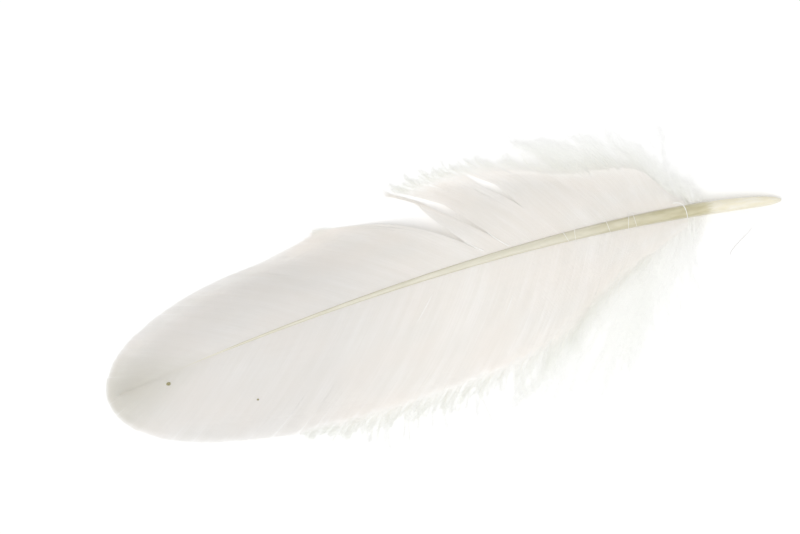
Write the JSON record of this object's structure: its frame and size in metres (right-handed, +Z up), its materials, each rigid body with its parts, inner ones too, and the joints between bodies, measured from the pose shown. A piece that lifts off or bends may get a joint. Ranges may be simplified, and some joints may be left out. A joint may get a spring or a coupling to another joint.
{
  "type": "goose shoulder feather",
  "caption": "White goose shoulder feather lying flat, with a bowed shaft, a wide and a narrow vane, a split in the narrow vane and down at the base.",
  "frame": {"origin": "on the surface that the feather lies on, under the middle of its box", "axes": "+X runs along the feather from the tip of its vanes to the end of its quill, +Y towards its narrow vane, +Z up out of the surface and out of its upper side"},
  "size_m": [0.1556, 0.0646, 0.0078],
  "materials": {
    "horn": "keratin: olive cream and slightly glossy, clear cream at the bare quill",
    "web": "white barbs side by side, matte with a faint silky sheen, light shows through",
    "fluff": "white down, matte and loose"
  },
  "bodies": {
    "root": {"shaft": "horn", "wide_vane": "web", "narrow_vane": "web", "wide_side_down": "fluff", "narrow_side_down": "fluff"}
  },
  "joints": []
}
